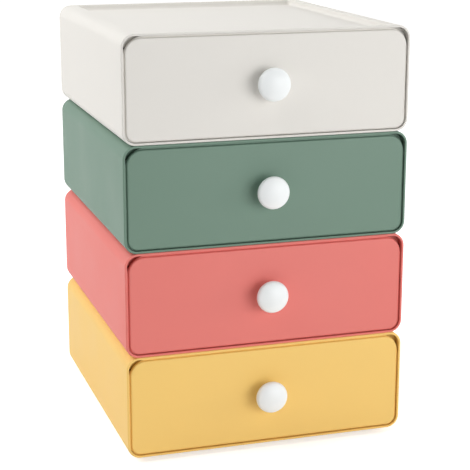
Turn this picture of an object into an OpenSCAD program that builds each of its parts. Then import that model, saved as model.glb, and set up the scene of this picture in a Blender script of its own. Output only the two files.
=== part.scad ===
// A stack of four stackable mini drawer units for a desk. Each unit is a moulded case with a
// shallow tray in its top, a drawer that slides out of the front, a round knob held by one
// screw from inside, and four rubber feet that drop into the tray of the unit below.
// Units: mm. +Z is up, the drawer fronts face -Y, and the origin is the middle of the stack's
// footprint, knobs included, at the surface that the lowest feet stand on.

/* [Case] */
// Outside width of a case
case_w = 180; // [160:2:200]
// Height of a case, and the pitch of the stack
case_h = 65; // [60:1:75]
// Depth of a case, front lip to back
case_d = 188; // [170:2:210]
// Radius of the four long outside edges
case_r = 8; // [6:0.5:9]
// Thickness of the moulded wall, as the front lip shows it
wall = 1.4; // [1.2:0.1:1.6]
// Thickness of the closed back
back_wall = 1.8; // [1.4:0.1:2.5]

/* [Top tray] */
// Width of the rim at each side of the tray
rim_side = 12.5; // [10:0.5:15]
// Width of the rim along the front
rim_front = 4.6; // [4.6:0.1:6]
// Width of the rim along the back
rim_back = 5; // [4:0.5:8]
// Depth of the tray below the rim
tray_deep = 3.8; // [3.4:0.1:5]
// Thickness of the tray's floor
tray_floor = 1.5; // [1.2:0.1:2]
// Radius of the tray's corners, seen from above
tray_r = 3; // [1:0.5:4]

/* [Drawer] */
// Gap between the drawer's front and the case at each side
gap_side = 0.9; // [0.6:0.1:1.2]
// Gap above the drawer's front
gap_top = 1.1; // [0.8:0.1:1.5]
// Gap below the drawer's front
gap_low = 0.5; // [0.4:0.1:0.8]
// How far the drawer's front sits back from the case's lip
set_back = 0.5; // [0.3:0.1:0.6]
// Thickness of the drawer's front
front_t = 2.1; // [1.8:0.1:2.2]
// Radius of the front's two upper corners
front_r_top = 9.5; // [7:0.5:11]
// Thickness of the thin flange that closes the gap round the front, just behind its face
flange_t = 0.8; // [0.6:0.1:1]
// Thickness of the drawer's sides, back and floor
drawer_wall = 1.5; // [1.2:0.1:2]
// Clearance between the drawer's sides and the case
drawer_clear = 1.1; // [1:0.1:1.6]
// How far the drawer's sides stop short of the tray's underside
side_drop = 3.9; // [3.6:0.1:8]
// How far the drawer slides before its nibs meet the stops
travel = 138; // [110:1:145]

/* [Knob and screw] */
// Diameter of the knob's head
knob_d = 20; // [19:0.5:24]
// Length of the knob, from the drawer's front to its tip
knob_len = 13.4; // [12:0.2:15]
// Diameter of the knob's neck
neck_d = 11; // [9:0.5:11]
// How far the knob's axis is above the middle of the case
knob_rise = 1; // [0:0.1:3]
// Diameter of the screw's shank
screw_d = 3.9; // [3:0.1:4.5]

/* [Feet] */
// Diameter of a rubber foot
foot_d = 10; // [8:0.5:11]
// Height of a rubber foot
foot_h = 3; // [2:0.1:3.2]

/* [Hidden] */
TIERS = ["yellow", "coral", "green", "ivory"];
KINDS = ["case", "feet", "drawer", "knob", "knob_screw"];
$fn = 64;

TIER_COLOURS = [[0.96, 0.78, 0.48], [0.90, 0.50, 0.47], [0.50, 0.61, 0.54], [0.92, 0.91, 0.88]];
KNOB_COLOUR = [0.97, 0.97, 0.97];
SCREW_COLOUR = [0.72, 0.72, 0.74];
FEET_COLOUR = [0.62, 0.62, 0.61];

// How far a solid runs on into its neighbour, or a cut past a face.
lap = 0.5;
knob_proud = knob_len - set_back;
lip_y = -(case_d - knob_proud) / 2;

// The cavity behind the lip, and the sheet that dips under the tray.
bay_w = case_w - 2 * wall;
bay_h = case_h - 2 * wall;
bay_r = case_r - wall;
back_y = case_d - back_wall;
tray_w = case_w - 2 * rim_side;
tray_d = case_d - rim_front - rim_back;
tray_z = case_h - tray_deep;
sheet_z = tray_z - tray_floor;

// The drawer's parts, all in the case's own frame, whose floor is at z = 0 and lip at y = 0.
front_w = bay_w - 2 * gap_side;
front_h = bay_h - gap_top - gap_low;
front_z = wall + gap_low;
front_r_low = bay_r - 0.4;
front_back_y = set_back + front_t;
flange_clear = 0.3;
flange_r_top = front_r_top + 2.5;
body_w = bay_w - 2 * drawer_clear;
body_z = wall + 1.2;
body_top = sheet_z - side_drop;
body_r = 6;
body_end_y = back_y - 1.5;
body_len = body_end_y - front_back_y;
skid_gap = 0.3;
skid_w = 3;
skid_x = 0.32 * body_w;
skid_inset = 8;

// A web in each side channel stops the nib on top of the drawer's side.
stop_t = 2;
stop_y = rim_front + 1;
stop_low = body_top + 0.8;
nib_y = stop_y + stop_t + travel + skid_gap;
nib_top = body_top + 3.2;
nib_flat = 1.5;
nib_ramp = 6;

// The knob's head: its rim is an arc about [rim_x, rim_y], and its face is an arc about its
// axis whose radius makes it run smoothly into the rim.
knob_z = case_h / 2 + knob_rise;
knob_back = 5.6;
rim_r = 3;
rim_x = knob_d / 2 - rim_r;
rim_y = knob_back + rim_r;
crown = knob_len - rim_y - rim_r;
dome_r = (rim_x ^ 2 + (knob_len - rim_y) ^ 2 - rim_r ^ 2) / (2 * crown);
dome_y = knob_len - dome_r;
rim_end = atan2(rim_y - dome_y, rim_x);
neck_r = neck_d / 2;
neck_fillet = 0.9 * (rim_x - neck_r);
knob_bore_len = 9;

// The screw and the clearances round its shank.
bore_clear = 0.05;
hole_clear = 0.25;
screw_reach = 8;
head_d = 8;
head_h = 2.4;
head_edge = 0.9;
slot_w = 1.1;
slot_len = 4.6;
slot_deep = 1.2;

foot_x = case_w / 2 - rim_side - 1.5 - foot_d / 2;
foot_front_y = rim_front + 5 + foot_d / 2;
foot_back_y = case_d - rim_back - 5 - foot_d / 2;
foot_chamfer = 0.6;

// Points along an arc about [x, y], from angle a to angle b.
function arc(x, y, r, a, b, n = 10) =
    [for (i = [0 : n]) [x + r * cos(a + (b - a) * i / n), y + r * sin(a + (b - a) * i / n)]];

// Rectangle centred on x = 0 that stands on y = 0, with its own radius at the bottom and top.
module rounded_rect(w, h, r_low, r_top) {
    translate([-w / 2, r_low]) square([w, h - r_low - r_top]);
    translate([-w / 2 + r_low, 0]) square([w - 2 * r_low, r_low + r_top]);
    translate([-w / 2 + r_top, h - r_low - r_top]) square([w - 2 * r_top, r_low + r_top]);
    for (side = [-1, 1]) {
        translate([side * (w / 2 - r_low), r_low]) circle(r = r_low);
        translate([side * (w / 2 - r_top), h - r_top]) circle(r = r_top);
    }
}

// The drawer's cross-section: round below, cut square above.
module trough(w, h, r) {
    intersection() {
        rounded_rect(w, h + 2 * r, r, r);
        translate([-w / 2, 0]) square([w, h]);
    }
}

// Extrudes an x-z outline along y, from y upwards.
module along_y(y, len) {
    translate([0, y + len, 0]) rotate([90, 0, 0]) linear_extrude(len) children();
}

// Extrudes a y-z outline along x, from x upwards.
module along_x(x, len) {
    translate([x, 0, 0]) rotate([90, 0, 90]) linear_extrude(len) children();
}

// Turns a radius-height profile about an axis that points out of the drawer's front, at y.
module turned(y) {
    translate([0, y, knob_z]) rotate([90, 0, 0]) rotate_extrude() children();
}

// A prism for the top tray, round at its upright edges and grown by grow all round.
module tray_prism(grow, low, high) {
    translate([0, rim_front - grow, low])
        linear_extrude(high - low)
            rounded_rect(tray_w + 2 * grow, tray_d + 2 * grow, tray_r + grow, tray_r + grow);
}

// Stands a piece in its unit of the stack.
module unit(i) {
    translate([0, lip_y, foot_h + i * case_h]) children();
}

// The case: one moulding, open in front and closed behind, whose top dips to make the tray.
module case_shell(i) {
    color(TIER_COLOURS[i]) unit(i) difference() {
        union() {
            difference() {
                along_y(0, case_d) rounded_rect(case_w, case_h, case_r, case_r);
                along_y(-lap, back_y + lap)
                    translate([0, wall]) rounded_rect(bay_w, bay_h, bay_r, bay_r);
            }
            tray_prism(wall, sheet_z, case_h - wall / 2);
            stop_webs();
        }
        tray_prism(0, tray_z, case_h + lap);
    }
}

// The webs that close the side channels just behind the front rim, and stop the drawer's nibs.
module stop_webs() {
    web_in = tray_w / 2 + wall / 2;
    along_y(stop_y, stop_t) intersection() {
        translate([0, wall / 2])
            rounded_rect(case_w - wall, case_h - wall, case_r - wall / 2, case_r - wall / 2);
        for (side = [-1, 1])
            translate([side > 0 ? web_in : -case_w / 2, stop_low])
                square([case_w / 2 - web_in, case_h - stop_low]);
    }
}

// Four rubber feet, stuck to the case's underside so that they drop inside the tray below.
module feet(i) {
    color(FEET_COLOUR) unit(i)
        for (side = [-1, 1], y = [foot_front_y, foot_back_y])
            translate([side * foot_x, y, -foot_h]) rotate_extrude()
                polygon([
                    [0, 0],
                    [foot_d / 2 - foot_chamfer, 0],
                    [foot_d / 2, foot_chamfer],
                    [foot_d / 2, foot_h],
                    [0, foot_h]
                ]);
}

// The drawer: one moulding with its flat front, an open box on two skids, and the stop nibs.
module drawer(i) {
    color(TIER_COLOURS[i]) unit(i) difference() {
        union() {
            along_y(set_back, front_t)
                translate([0, front_z]) rounded_rect(front_w, front_h, front_r_low, front_r_top);
            front_flange();
            drawer_box();
            for (side = [-1, 1]) {
                skid(side);
                nib(side);
            }
        }
        turned(front_back_y + lap) square([screw_d / 2 + hole_clear, front_t + 2 * lap]);
    }
}

// The flange behind the front's face. It fills the mouth of the case but for a hair along its four
// sides and at its lower corners, and leaves the two upper corners open.
module front_flange() {
    flange_w = bay_w - 2 * flange_clear;
    flange_h = bay_h - 2 * flange_clear;
    along_y(front_back_y - flange_t, flange_t)
        translate([0, wall + flange_clear])
            rounded_rect(flange_w, flange_h, bay_r - flange_clear, flange_r_top);
}

module drawer_box() {
    inner_w = body_w - 2 * drawer_wall;
    inner_r = body_r - drawer_wall;
    difference() {
        along_y(front_back_y - lap, body_len + lap)
            translate([0, body_z]) trough(body_w, body_top - body_z, body_r);
        along_y(front_back_y, body_len - drawer_wall)
            translate([0, body_z + drawer_wall]) trough(inner_w, case_h, inner_r);
    }
}

// A low rib under the drawer that carries it along the case's floor.
module skid(side) {
    low = wall + skid_gap;
    translate([side * skid_x - skid_w / 2, front_back_y + skid_inset, low])
        cube([skid_w, body_len - 2 * skid_inset, body_z + lap - low]);
}

// A nib on top of the drawer's side: upright in front, and sloped behind so that it snaps in.
module nib(side) {
    nib_low = body_top - lap;
    along_x(side > 0 ? body_w / 2 - drawer_wall : -body_w / 2, drawer_wall)
        polygon([
            [nib_y, nib_low],
            [nib_y, nib_top],
            [nib_y + nib_flat, nib_top],
            [nib_y + nib_ramp, nib_low]
        ]);
}

// The knob: a gently domed head with a rounded rim, on a neck with a blind hole for the screw.
module knob(i) {
    color(KNOB_COLOUR) unit(i) turned(set_back)
        difference() {
            polygon(concat(
                [[0, 0], [neck_r, 0]],
                arc(neck_r + neck_fillet, knob_back - neck_fillet, neck_fillet, 180, 90, 5),
                arc(rim_x, rim_y, rim_r, -90, rim_end, 14),
                arc(0, dome_y, dome_r, rim_end, 90, 8)
            ));
            square([screw_d / 2 + bore_clear, knob_bore_len]);
        }
}

// The screw that holds the knob: a pan head inside the drawer, with a cross recess.
module knob_screw(i) {
    color(SCREW_COLOUR) unit(i) difference() {
        turned(front_back_y) polygon(concat(
            [[0, -head_h]],
            arc(head_d / 2 - head_edge, -head_h + head_edge, head_edge, -90, 0, 5),
            [[head_d / 2, 0], [screw_d / 2, 0], [screw_d / 2, front_t + screw_reach]],
            [[0, front_t + screw_reach]]
        ));
        for (turn = [0, 90])
            translate([0, front_back_y + head_h, knob_z]) rotate([0, turn, 0])
                cube([slot_len, 2 * slot_deep, slot_w], center = true);
    }
}

for (i = [0 : len(TIERS) - 1]) {
    case_shell(i);
    feet(i);
    drawer(i);
    knob(i);
    knob_screw(i);
}
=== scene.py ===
# A desktop stack of four mini drawer units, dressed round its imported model.
# Lengths are in metres. The fronts face -Y, and the lowest feet stand on z = 0.
import math

import bmesh
import bpy
from mathutils import Matrix, Vector


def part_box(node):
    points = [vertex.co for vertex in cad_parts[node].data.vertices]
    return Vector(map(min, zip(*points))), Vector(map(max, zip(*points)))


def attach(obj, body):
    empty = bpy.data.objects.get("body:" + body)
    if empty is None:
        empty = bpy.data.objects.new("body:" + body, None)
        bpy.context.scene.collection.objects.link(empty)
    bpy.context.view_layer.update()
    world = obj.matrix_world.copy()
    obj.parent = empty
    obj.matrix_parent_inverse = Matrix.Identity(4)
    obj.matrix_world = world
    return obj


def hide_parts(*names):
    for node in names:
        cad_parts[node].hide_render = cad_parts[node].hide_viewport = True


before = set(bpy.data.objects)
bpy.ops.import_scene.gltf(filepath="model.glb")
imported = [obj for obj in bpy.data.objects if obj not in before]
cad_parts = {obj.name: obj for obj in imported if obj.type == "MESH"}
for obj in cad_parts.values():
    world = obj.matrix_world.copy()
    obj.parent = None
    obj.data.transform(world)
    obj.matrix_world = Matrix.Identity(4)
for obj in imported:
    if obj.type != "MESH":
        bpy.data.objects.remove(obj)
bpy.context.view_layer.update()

# ---- The cases ----
# Each unit's case is one polypropylene moulding, open in front, with a shallow tray sunk into its
# top. A mould can't make a knife edge, so every edge of the real piece is a little round: least at
# the thin front lip, more round the tray's rim, and most where the tray's walls meet its floor.
MM = 0.001
TIERS = ["yellow", "coral", "green", "ivory"]
TIER_COLOURS = {
    "yellow": (0.900, 0.592, 0.165),
    "coral": (0.755, 0.185, 0.158),
    "green": (0.138, 0.227, 0.171),
    "ivory": (0.758, 0.735, 0.690),
}
LIP_OUTER_ROUND = 0.8 * MM
LIP_INNER_ROUND = 0.2 * MM
RIM_ROUND = 1.3 * MM
TRAY_FILLET = 2.2 * MM
BACK_ROUND = 1.6 * MM
PLAIN_ROUND = 0.25 * MM
ROUND_STEPS = 5
SHARP_ANGLE = math.radians(28)
FLAT_ANGLE = math.radians(0.4)
SAME_POINT = 0.001 * MM
TOUCH = 0.02 * MM
TRAY_DEPTH = 3.8 * MM
SHOULDER = 9 * MM

unit_low, unit_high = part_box("yellow_case")
unit_height = unit_high.z - unit_low.z


def moulding_from_solid(node, name, round_of):
    """A copy of a solid with its flat faces joined, and each sharp edge rounded by round_of."""
    shape = bmesh.new()
    shape.from_mesh(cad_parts[node].data)
    bmesh.ops.remove_doubles(shape, verts=shape.verts, dist=SAME_POINT)
    bmesh.ops.dissolve_limit(
        shape, angle_limit=FLAT_ANGLE, verts=shape.verts, edges=shape.edges
    )
    weight = shape.edges.layers.float.new("bevel_weight_edge")
    for edge in shape.edges:
        if len(edge.link_faces) == 2 and edge.calc_face_angle() > SHARP_ANGLE:
            edge[weight] = round_of(edge) / TRAY_FILLET
            edge.smooth = edge[weight] > 0
    for face in shape.faces:
        face.smooth = True
    mesh = bpy.data.meshes.new(name)
    shape.to_mesh(mesh)
    shape.free()
    piece = bpy.data.objects.new(name, mesh)
    bpy.context.scene.collection.objects.link(piece)
    rounding = piece.modifiers.new("rounding", "BEVEL")
    rounding.limit_method = "WEIGHT"
    rounding.width = TRAY_FILLET
    rounding.segments = ROUND_STEPS
    rounding.use_clamp_overlap = False
    rounding.miter_outer = "MITER_ARC"
    shading = piece.modifiers.new("flat faces stay flat", "WEIGHTED_NORMAL")
    shading.weight = 60
    shading.keep_sharp = True
    return finished(piece)


def finished(piece):
    """Turns a piece's modifiers into plain mesh."""
    graph = bpy.context.evaluated_depsgraph_get()
    mesh = bpy.data.meshes.new_from_object(piece.evaluated_get(graph))
    mesh.name = piece.name
    piece.modifiers.clear()
    piece.data = mesh
    return piece


def case_round(edge):
    """How far a case's edge is rounded: the lip, the back, the tray's rim, its floor, the rest."""
    a, b = (vertex.co for vertex in edge.verts)
    if max(a.y, b.y) < unit_low.y + TOUCH:
        side_face = min(edge.link_faces, key=lambda face: abs(face.normal.y))
        outwards = (a + b) / 2 - (unit_low + unit_high) / 2
        return LIP_OUTER_ROUND if side_face.normal.dot(outwards) > 0 else LIP_INNER_ROUND
    if min(a.y, b.y) > unit_high.y - TOUCH:
        return BACK_ROUND
    inside_top = all(abs(p.x) < unit_high.x - SHOULDER for p in (a, b))
    if min(a.z, b.z) > unit_high.z - TOUCH and inside_top:
        return RIM_ROUND
    at_tray_floor = all(abs(unit_high.z - TRAY_DEPTH - p.z) < TOUCH for p in (a, b))
    return TRAY_FILLET if at_tray_floor else PLAIN_ROUND


case_master = moulding_from_solid("yellow_case", "case_master", case_round)


def moulded_skin():
    """Shader group for satin moulded plastic: faint mottling, and the mould's fine spark grain."""
    group = bpy.data.node_groups.new("moulded skin", "ShaderNodeTree")
    new_socket = group.interface.new_socket
    new_socket("Colour", in_out="INPUT", socket_type="NodeSocketColor")
    for label, value in (
        ("Mottle", 0.02),
        ("Mottle size", 0.05),
        ("Grain size", 0.6 * MM),
        ("Roughness low", 0.5),
        ("Roughness high", 0.6),
    ):
        socket = new_socket(label, in_out="INPUT", socket_type="NodeSocketFloat")
        socket.default_value = value
    new_socket("Colour", in_out="OUTPUT", socket_type="NodeSocketColor")
    new_socket("Roughness", in_out="OUTPUT", socket_type="NodeSocketFloat")
    new_socket("Grain", in_out="OUTPUT", socket_type="NodeSocketFloat")
    add, link = group.nodes.new, group.links.new
    given, result = add("NodeGroupInput"), add("NodeGroupOutput")
    place = add("ShaderNodeTexCoord").outputs["Object"]

    def noise_at(size, detail):
        scale = add("ShaderNodeMath")
        scale.operation = "DIVIDE"
        scale.inputs[0].default_value = 1
        link(given.outputs[size], scale.inputs[1])
        noise = add("ShaderNodeTexNoise")
        noise.inputs["Detail"].default_value = detail
        link(place, noise.inputs["Vector"])
        link(scale.outputs[0], noise.inputs["Scale"])
        return noise.outputs["Fac"]

    mottle = noise_at("Mottle size", 3)

    def spread_mottle():
        """The mottle's noise, most of which lies between 0.3 and 0.7, spread over 0 to 1."""
        spread = add("ShaderNodeMapRange")
        link(mottle, spread.inputs["Value"])
        spread.inputs["From Min"].default_value = 0.3
        spread.inputs["From Max"].default_value = 0.7
        return spread

    shade = spread_mottle()
    darkest = add("ShaderNodeMath")
    darkest.operation = "SUBTRACT"
    darkest.inputs[0].default_value = 1
    link(given.outputs["Mottle"], darkest.inputs[1])
    link(darkest.outputs[0], shade.inputs["To Min"])
    tint = add("ShaderNodeVectorMath")
    tint.operation = "SCALE"
    link(given.outputs["Colour"], tint.inputs[0])
    link(shade.outputs["Result"], tint.inputs["Scale"])
    link(tint.outputs["Vector"], result.inputs["Colour"])

    rough = spread_mottle()
    link(given.outputs["Roughness low"], rough.inputs["To Min"])
    link(given.outputs["Roughness high"], rough.inputs["To Max"])
    link(rough.outputs["Result"], result.inputs["Roughness"])
    link(noise_at("Grain size", 2), result.inputs["Grain"])
    return group


skin = moulded_skin()


def moulded_plastic(name, colour, mottle, rough, grain_size, grain_depth):
    """A plastic whose colour, roughness and grain come from the moulded skin group. Its roughness
    is a low and a high value, and its grain has a size and a depth."""
    material = bpy.data.materials.new(name)
    material.use_nodes = True
    nodes, link = material.node_tree.nodes, material.node_tree.links.new
    shader = nodes["Principled BSDF"]
    surface = nodes.new("ShaderNodeGroup")
    surface.node_tree = skin
    surface.inputs["Colour"].default_value = (*colour, 1)
    surface.inputs["Mottle"].default_value = mottle
    surface.inputs["Grain size"].default_value = grain_size
    surface.inputs["Roughness low"].default_value = rough[0]
    surface.inputs["Roughness high"].default_value = rough[1]
    bump = nodes.new("ShaderNodeBump")
    bump.inputs["Distance"].default_value = grain_depth
    link(surface.outputs["Colour"], shader.inputs["Base Color"])
    link(surface.outputs["Roughness"], shader.inputs["Roughness"])
    link(surface.outputs["Grain"], bump.inputs["Height"])
    link(bump.outputs["Normal"], shader.inputs["Normal"])
    shader.inputs["IOR"].default_value = 1.48
    return material


plastics = {
    tier: moulded_plastic(
        f"{tier} plastic", TIER_COLOURS[tier], 0.02, (0.5, 0.58), 0.6 * MM, 0.012 * MM
    )
    for tier in TIERS
}


def placed_copy(master, name, level, material):
    """A tier's own copy of a master piece, with its place in its mesh."""
    mesh = master.data.copy()
    mesh.name = name
    mesh.transform(Matrix.Translation((0, 0, level * unit_height)))
    mesh.materials.clear()
    mesh.materials.append(material)
    piece = bpy.data.objects.new(name, mesh)
    bpy.context.scene.collection.objects.link(piece)
    return piece


def dress(piece, body, node):
    """A piece rides on its body and takes the place of its node, which is hidden."""
    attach(piece, body)
    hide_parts(node)


for level, tier in enumerate(TIERS):
    case = placed_copy(case_master, f"{tier}_case_moulding", level, plastics[tier])
    dress(case, f"{tier}_unit", f"{tier}_case")
bpy.data.objects.remove(case_master)

# ---- The feet ----
# Four grey rubber pads are stuck under each case, and drop inside the tray of the unit below.
# Each is turned, with a rounded tread edge and a shallow dish in its sole.
FOOT_RADIUS = 5 * MM
FOOT_HEIGHT = 3 * MM
FOOT_EDGE = 0.7 * MM
FOOT_BEVEL = 0.2 * MM
SOLE_DISH = 0.25 * MM
SOLE_RADIUS = 30 * MM


def arc(x, y, radius, start, end, steps):
    """Points along an arc about x, y, with its angles in degrees."""
    turns = [math.radians(start + (end - start) * k / steps) for k in range(steps + 1)]
    return [(x + radius * math.cos(t), y + radius * math.sin(t)) for t in turns]


def skinned(name, rings):
    """A closed skin over rings of points. A ring of one point closes an end."""
    shape = bmesh.new()
    rows = [[shape.verts.new(point) for point in ring] for ring in rings]
    for lower, upper in zip(rows, rows[1:]):
        around = ((lower, 0), (lower, 1), (upper, 1), (upper, 0))
        for k in range(max(len(lower), len(upper))):
            corners = [row[(k + step) % len(row)] for row, step in around]
            shape.faces.new(list(dict.fromkeys(corners)))
    bmesh.ops.recalc_face_normals(shape, faces=shape.faces)
    for face in shape.faces:
        face.smooth = True
    mesh = bpy.data.meshes.new(name)
    shape.to_mesh(mesh)
    shape.free()
    mesh.set_sharp_from_angle(angle=math.radians(35))
    piece = bpy.data.objects.new(name, mesh)
    bpy.context.scene.collection.objects.link(piece)
    return piece


def turned(name, profile, steps):
    """A piece turned about the z axis from a profile of radius and height, with closed ends."""
    rings = []
    for radius, height in profile:
        spokes = steps if radius > 0.01 * MM else 1
        angles = [math.tau * k / steps for k in range(spokes)]
        rings.append([(radius * math.cos(t), radius * math.sin(t), height) for t in angles])
    return skinned(name, rings)


sole = arc(0, SOLE_DISH - SOLE_RADIUS, SOLE_RADIUS, 90, 83, 5)
foot_profile = [
    *((radius, max(0.0, height)) for radius, height in sole),
    *arc(FOOT_RADIUS - FOOT_EDGE, FOOT_EDGE, FOOT_EDGE, -90, 0, 6),
    (FOOT_RADIUS, FOOT_HEIGHT - FOOT_BEVEL),
    (FOOT_RADIUS - FOOT_BEVEL, FOOT_HEIGHT),
    (0, FOOT_HEIGHT),
]
feet_master = turned("feet_master", foot_profile, 48)

four_feet = bpy.data.node_groups.new("four feet", "GeometryNodeTree")
for label, kind in (
    ("One foot", "NodeSocketGeometry"),
    ("Spacing across", "NodeSocketFloat"),
    ("Spacing deep", "NodeSocketFloat"),
    ("Middle", "NodeSocketVector"),
    ("Rubber", "NodeSocketMaterial"),
):
    four_feet.interface.new_socket(label, in_out="INPUT", socket_type=kind)
four_feet.interface.new_socket("Feet", in_out="OUTPUT", socket_type="NodeSocketGeometry")
add, link = four_feet.nodes.new, four_feet.links.new
given, result = add("NodeGroupInput"), add("NodeGroupOutput")
corners = add("GeometryNodeMeshGrid")
corners.inputs["Vertices X"].default_value = 2
corners.inputs["Vertices Y"].default_value = 2
link(given.outputs["Spacing across"], corners.inputs["Size X"])
link(given.outputs["Spacing deep"], corners.inputs["Size Y"])
shift = add("GeometryNodeTransform")
link(corners.outputs["Mesh"], shift.inputs["Geometry"])
link(given.outputs["Middle"], shift.inputs["Translation"])
stand = add("GeometryNodeInstanceOnPoints")
link(shift.outputs["Geometry"], stand.inputs["Points"])
link(given.outputs["One foot"], stand.inputs["Instance"])
real = add("GeometryNodeRealizeInstances")
link(stand.outputs["Instances"], real.inputs["Geometry"])
coat = add("GeometryNodeSetMaterial")
link(real.outputs["Geometry"], coat.inputs["Geometry"])
link(given.outputs["Rubber"], coat.inputs["Material"])
link(coat.outputs["Geometry"], result.inputs["Feet"])

rubber = moulded_plastic("foot rubber", (0.36, 0.36, 0.35), 0.08, (0.78, 0.9), 0.5 * MM, 0.03 * MM)
feet_low, feet_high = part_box("yellow_feet")
layout = feet_master.modifiers.new("four feet", "NODES")
layout.node_group = four_feet
feet_values = {
    "Spacing across": feet_high.x - feet_low.x - 2 * FOOT_RADIUS,
    "Spacing deep": feet_high.y - feet_low.y - 2 * FOOT_RADIUS,
    "Middle": ((feet_low.x + feet_high.x) / 2, (feet_low.y + feet_high.y) / 2, feet_low.z),
    "Rubber": rubber,
}
for socket in four_feet.interface.items_tree:
    if socket.name in feet_values:
        layout[socket.identifier] = feet_values[socket.name]
finished(feet_master)
for level, tier in enumerate(TIERS):
    feet = placed_copy(feet_master, f"{tier}_rubber_feet", level, rubber)
    dress(feet, f"{tier}_unit", f"{tier}_feet")
bpy.data.objects.remove(feet_master)

# ---- The drawers ----
# A drawer is one moulding: a flat front with a softly rounded edge and a thin flange behind it, and
# an open box on two skids. Its inside corners are filleted so that small things sweep out easily.
FRONT_ROUND = 1.2 * MM
FRONT_THICKNESS = 2.1 * MM
BOX_WIDTH = 175 * MM
BOX_WALL = 1.5 * MM
BOX_TOP = unit_low.z + 55.8 * MM
DRAWER_FILLET = 1.2 * MM
WALL_TOP_ROUND = 0.5 * MM

drawer_low, drawer_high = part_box("yellow_drawer")


def drawer_round(edge):
    """How far a drawer's edge is rounded: its face, inside corners, the walls' tops, the rest."""
    ends = [vertex.co for vertex in edge.verts]
    back = max(p.y for p in ends)
    if back < drawer_low.y + TOUCH:
        at_screw_hole = all(abs(p.x) < drawer_high.x / 2 for p in ends)
        return PLAIN_ROUND if at_screw_hole else FRONT_ROUND
    in_box = all(
        abs(p.x) < BOX_WIDTH / 2 - BOX_WALL + TOUCH
        and drawer_low.z + 1.5 * BOX_WALL < p.z < BOX_TOP + TOUCH
        for p in ends
    )
    if in_box and not edge.is_convex:
        return DRAWER_FILLET
    if back < drawer_low.y + FRONT_THICKNESS + TOUCH:
        return 0
    if all(abs(p.z - BOX_TOP) < TOUCH for p in ends):
        return WALL_TOP_ROUND
    return PLAIN_ROUND


drawer_master = moulding_from_solid("yellow_drawer", "drawer_master", drawer_round)
for level, tier in enumerate(TIERS):
    drawer = placed_copy(drawer_master, f"{tier}_drawer_moulding", level, plastics[tier])
    dress(drawer, f"{tier}_drawer_box", f"{tier}_drawer")
bpy.data.objects.remove(drawer_master)

# ---- The knobs ----
# Each knob is a turned-looking plastic moulding: a gently domed face that runs into a full round
# rim, a waist behind it, and a neck that stands on the drawer's front.
knob_low, knob_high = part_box("yellow_knob")
KNOB_RADIUS = (knob_high.x - knob_low.x) / 2
KNOB_LENGTH = knob_high.y - knob_low.y
NECK_RADIUS = 5.5 * MM
HEAD_BACK = 5.6 * MM
NECK_EDGE = 0.3 * MM
RIM_RADIUS = 3 * MM
BORE_RADIUS = 2 * MM
BORE_LENGTH = 9 * MM

rim_x, rim_h = KNOB_RADIUS - RIM_RADIUS, HEAD_BACK + RIM_RADIUS
crown = KNOB_LENGTH - rim_h - RIM_RADIUS
dome_radius = (rim_x**2 + (KNOB_LENGTH - rim_h) ** 2 - RIM_RADIUS**2) / (2 * crown)
dome_h = KNOB_LENGTH - dome_radius
rim_end = math.degrees(math.atan2(rim_h - dome_h, rim_x))
waist = 0.9 * (rim_x - NECK_RADIUS)
knob_profile = [
    (0, BORE_LENGTH),
    (BORE_RADIUS, BORE_LENGTH),
    (BORE_RADIUS, 0),
    *arc(NECK_RADIUS - NECK_EDGE, NECK_EDGE, NECK_EDGE, -90, 0, 3),
    *arc(NECK_RADIUS + waist, HEAD_BACK - waist, waist, 180, 90, 8),
    *arc(rim_x, rim_h, RIM_RADIUS, -90, rim_end, 24),
    *arc(0, dome_h, dome_radius, rim_end, 90, 14)[1:-1],
    (0, KNOB_LENGTH),
]
OUTWARDS = Matrix.Rotation(math.pi / 2, 4, "X")


def point_outwards(piece, height, y):
    """Swings a piece turned about z round to point out of the drawer's front, from y."""
    piece.data.transform(Matrix.Translation((0, y, height)) @ OUTWARDS)


knob_z = (knob_low.z + knob_high.z) / 2
knob_master = turned("knob_master", knob_profile, 96)
point_outwards(knob_master, knob_z, knob_high.y)
white_plastic = moulded_plastic(
    "knob plastic", (0.866, 0.893, 0.895), 0.01, (0.34, 0.4), 0.5 * MM, 0.004 * MM
)
for level, tier in enumerate(TIERS):
    knob = placed_copy(knob_master, f"{tier}_round_knob", level, white_plastic)
    dress(knob, f"{tier}_drawer_box", f"{tier}_knob")
bpy.data.objects.remove(knob_master)

# ---- The knob screws ----
# A zinc-plated pan head screw passes through the drawer's front from inside and threads into the
# knob. Its head is rounded and has a cross recess, and its plating is a little uneven in its shine.
screw_low, screw_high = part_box("yellow_knob_screw")
HEAD_RADIUS = 4 * MM
HEAD_HEIGHT = 2.4 * MM
HEAD_EDGE = 0.9 * MM
HEAD_TOP_RADIUS = 2 * MM
HEAD_BEVEL = 0.15 * MM
CREST_RADIUS = 1.94 * MM
ROOT_RADIUS = 1.58 * MM
THREAD_PITCH = 0.7 * MM
PLAIN_SHANK = 2.2 * MM
TIP_TAPER = 0.8 * MM
TIP_SLOPE = 0.6
RECESS_WIDTH = 1.1 * MM
RECESS_REACH = 2.3 * MM
RECESS_DEPTH = 1.3 * MM
RECESS_FLOOR_REACH = 0.45
RECESS_FLOOR_WIDTH = 0.7
CUTTER_PROUD = 0.5 * MM
SPOKES = 40
ROWS_PER_PITCH = 6

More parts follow.
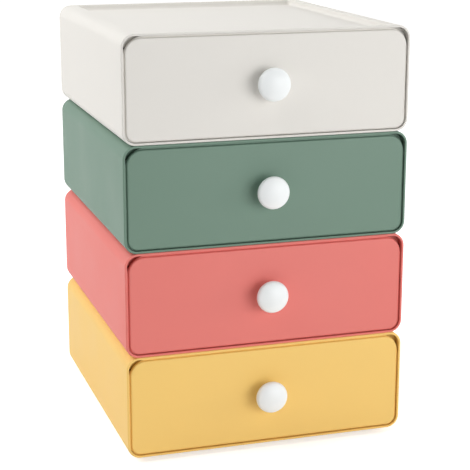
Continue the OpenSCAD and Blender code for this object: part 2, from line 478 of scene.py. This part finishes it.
shank = screw_high.y - screw_low.y - HEAD_HEIGHT
rings = [[(0, 0, -HEAD_HEIGHT)]]
for radius, height in [
    (HEAD_TOP_RADIUS, -HEAD_HEIGHT),
    *arc(HEAD_RADIUS - HEAD_EDGE, HEAD_EDGE - HEAD_HEIGHT, HEAD_EDGE, -90, 0, 6),
    (HEAD_RADIUS, -HEAD_BEVEL),
    (HEAD_RADIUS - HEAD_BEVEL, 0),
    (CREST_RADIUS, 0),
    (CREST_RADIUS, PLAIN_SHANK - THREAD_PITCH),
]:
    turns = [math.tau * k / SPOKES for k in range(SPOKES)]
    rings.append([(radius * math.cos(t), radius * math.sin(t), height) for t in turns])
thread_rows = int((shank - PLAIN_SHANK) / THREAD_PITCH * ROWS_PER_PITCH)
for row in range(thread_rows + 1):
    height = PLAIN_SHANK + (shank - PLAIN_SHANK) * row / thread_rows
    limit = CREST_RADIUS - max(0.0, height - shank + TIP_TAPER) * TIP_SLOPE
    ring = []
    for k in range(SPOKES):
        phase = (height / THREAD_PITCH - k / SPOKES) % 1
        flank = abs(2 * phase - 1)
        radius = min(limit, ROOT_RADIUS + (CREST_RADIUS - ROOT_RADIUS) * flank)
        turn = math.tau * k / SPOKES
        ring.append((radius * math.cos(turn), radius * math.sin(turn), height))
    rings.append(ring)
rings.append([(0, 0, shank)])
screw_master = skinned("screw_master", rings)


def cross_cutter():
    """Two tapered wedges, crossed, that cut the recess in the screw's head."""
    shape = bmesh.new()
    for turn in (0, math.pi / 2):
        wedge = bmesh.ops.create_cube(shape, size=1)["verts"]
        for vertex in wedge:
            deep = vertex.co.z > 0
            vertex.co.x *= 2 * RECESS_REACH * (RECESS_FLOOR_REACH if deep else 1)
            vertex.co.y *= RECESS_WIDTH * (RECESS_FLOOR_WIDTH if deep else 1)
            vertex.co.z = -HEAD_HEIGHT + (RECESS_DEPTH if deep else -CUTTER_PROUD)
        bmesh.ops.rotate(shape, verts=wedge, matrix=Matrix.Rotation(turn, 3, "Z"))
    mesh = bpy.data.meshes.new("cross_cutter")
    shape.to_mesh(mesh)
    shape.free()
    cutter = bpy.data.objects.new("cross_cutter", mesh)
    bpy.context.scene.collection.objects.link(cutter)
    return cutter


cutter = cross_cutter()
recess = screw_master.modifiers.new("cross recess", "BOOLEAN")
recess.operation = "DIFFERENCE"
recess.use_self = True
recess.object = cutter
finished(screw_master)
bpy.data.objects.remove(cutter)
screw_z = (screw_low.z + screw_high.z) / 2
point_outwards(screw_master, screw_z, screw_high.y - HEAD_HEIGHT)

zinc = bpy.data.materials.new("zinc plate")
zinc.use_nodes = True
nodes, link = zinc.node_tree.nodes, zinc.node_tree.links.new
shader = nodes["Principled BSDF"]
shader.inputs["Base Color"].default_value = (0.62, 0.63, 0.65, 1)
shader.inputs["Metallic"].default_value = 1
place = nodes.new("ShaderNodeTexCoord")
wear = nodes.new("ShaderNodeTexNoise")
wear.inputs["Scale"].default_value = 900
link(place.outputs["Object"], wear.inputs["Vector"])
polish = nodes.new("ShaderNodeMapRange")
polish.inputs["To Min"].default_value = 0.22
polish.inputs["To Max"].default_value = 0.42
link(wear.outputs["Fac"], polish.inputs["Value"])
link(polish.outputs["Result"], shader.inputs["Roughness"])
for level, tier in enumerate(TIERS):
    screw = placed_copy(screw_master, f"{tier}_pan_head_screw", level, zinc)
    dress(screw, f"{tier}_drawer_box", f"{tier}_knob_screw")
bpy.data.objects.remove(screw_master)

# ---- The floor, light and camera ----
# A pale studio floor that stays white to the camera and keeps the stack's soft shadow. One broad
# lamp in front on the right lights the fronts, two on the high left light the sides, one at the far
# right skims the top tray, and a weak one on the right and one overhead fill in the rest.
FLOOR_REACH = 6
FLOOR_GREY = 0.82
WHITE = (1, 1, 1, 1)
SHADOW_NEAR = 0.2
SHADOW_FAR = 1.6
FLOOR_GLOW_NEAR = 0.58
WORLD_FILL = 0.1

floor_mesh = bpy.data.meshes.new("studio_floor")
floor_corners = ((-1, -1), (1, -1), (1, 1), (-1, 1))
floor_mesh.from_pydata(
    [(x * FLOOR_REACH, y * FLOOR_REACH, 0) for x, y in floor_corners], [], [(0, 1, 2, 3)]
)
floor = bpy.data.objects.new("studio_floor", floor_mesh)
bpy.context.scene.collection.objects.link(floor)
paper = bpy.data.materials.new("studio paper")
paper.use_nodes = True
nodes, link = paper.node_tree.nodes, paper.node_tree.links.new
shader = nodes["Principled BSDF"]
shader.inputs["Base Color"].default_value = (FLOOR_GREY, FLOOR_GREY, FLOOR_GREY, 1)
shader.inputs["Roughness"].default_value = 1
shader.inputs["Specular IOR Level"].default_value = 0


def seen_directly(tree):
    """1 for rays from the camera or by way of metal, gloss or glass, and 0 for the rest."""
    path = tree.nodes.new("ShaderNodeLightPath")
    either = tree.nodes.new("ShaderNodeMath")
    either.operation = "ADD"
    both = tree.nodes.new("ShaderNodeMath")
    both.operation = "ADD"
    both.use_clamp = True
    tree.links.new(path.outputs["Is Camera Ray"], either.inputs[0])
    tree.links.new(path.outputs["Is Glossy Ray"], either.inputs[1])
    tree.links.new(either.outputs[0], both.inputs[0])
    tree.links.new(path.outputs["Is Transmission Ray"], both.inputs[1])
    return both.outputs[0]


place = nodes.new("ShaderNodeTexCoord")
distance = nodes.new("ShaderNodeVectorMath")
distance.operation = "LENGTH"
link(place.outputs["Object"], distance.inputs[0])
lift = nodes.new("ShaderNodeMapRange")
lift.interpolation_type = "SMOOTHSTEP"
link(distance.outputs["Value"], lift.inputs["Value"])
lift.inputs["From Min"].default_value = SHADOW_NEAR
lift.inputs["From Max"].default_value = SHADOW_FAR
lift.inputs["To Min"].default_value = FLOOR_GLOW_NEAR
lift.inputs["To Max"].default_value = 1
shown = nodes.new("ShaderNodeMath")
shown.operation = "MULTIPLY"
link(seen_directly(paper.node_tree), shown.inputs[0])
link(lift.outputs["Result"], shown.inputs[1])
shader.inputs["Emission Color"].default_value = WHITE
link(shown.outputs[0], shader.inputs["Emission Strength"])
floor_mesh.materials.append(paper)

world = bpy.data.worlds.new("studio")
world.use_nodes = True
bpy.context.scene.world = world
nodes, link = world.node_tree.nodes, world.node_tree.links.new
background = nodes["Background"]
background.inputs["Color"].default_value = WHITE
strength = nodes.new("ShaderNodeMapRange")
link(seen_directly(world.node_tree), strength.inputs["Value"])
strength.inputs["To Min"].default_value = WORLD_FILL
strength.inputs["To Max"].default_value = 1
link(strength.outputs["Result"], background.inputs["Strength"])


STACK_MIDDLE = Vector((0, 0, 0.13))


def soft_lamp(name, place, size, watts):
    """A square lamp at place that faces the middle of the stack."""
    lamp = bpy.data.lights.new(name, "AREA")
    lamp.size = size
    lamp.energy = watts
    holder = bpy.data.objects.new(name, lamp)
    holder.location = place
    aim = STACK_MIDDLE - Vector(place)
    holder.rotation_euler = aim.to_track_quat("-Z", "Y").to_euler()
    bpy.context.scene.collection.objects.link(holder)


soft_lamp("front_right_lamp", (0.5, -1.2, 0.2), 1.0, 12.2)
soft_lamp("right_lamp", (1.2, -0.35, 0.25), 0.8, 4.2)
soft_lamp("near_left_lamp", (-0.8, -0.2, 1.1), 0.8, 4.2)
soft_lamp("far_left_lamp", (-1.0, 0.35, 0.9), 0.8, 9.4)
soft_lamp("far_right_lamp", (1.1, 0.3, 0.75), 0.6, 5.6)
soft_lamp("overhead_lamp", (0, 0, 1.3), 1.0, 3.0)

EYE_PLACE = (-0.2688, -0.86685, 0.3519)
EYE_TURNS = (17.6, 14.52, 0.08)
FOCAL_LENGTH_IN_PIXELS = 1400
FRAME_IN_PIXELS = 470

camera = bpy.data.cameras.new("camera")
camera.sensor_width = 36
camera.lens = FOCAL_LENGTH_IN_PIXELS / FRAME_IN_PIXELS * camera.sensor_width
camera.clip_end = 50
eye = bpy.data.objects.new("camera", camera)
turn, tilt, roll = (math.radians(angle) for angle in EYE_TURNS)
ahead = Vector((math.sin(turn) * math.cos(tilt), math.cos(turn) * math.cos(tilt), -math.sin(tilt)))
level_right = Vector((math.cos(turn), -math.sin(turn), 0))
level_up = level_right.cross(ahead)
right = level_right * math.cos(roll) + level_up * math.sin(roll)
up = level_up * math.cos(roll) - level_right * math.sin(roll)
axes = Matrix((right, up, -ahead)).transposed().to_4x4()
eye.matrix_world = Matrix.Translation(EYE_PLACE) @ axes
bpy.context.scene.collection.objects.link(eye)
bpy.context.scene.camera = eye
bpy.context.scene.view_settings.view_transform = "Standard"
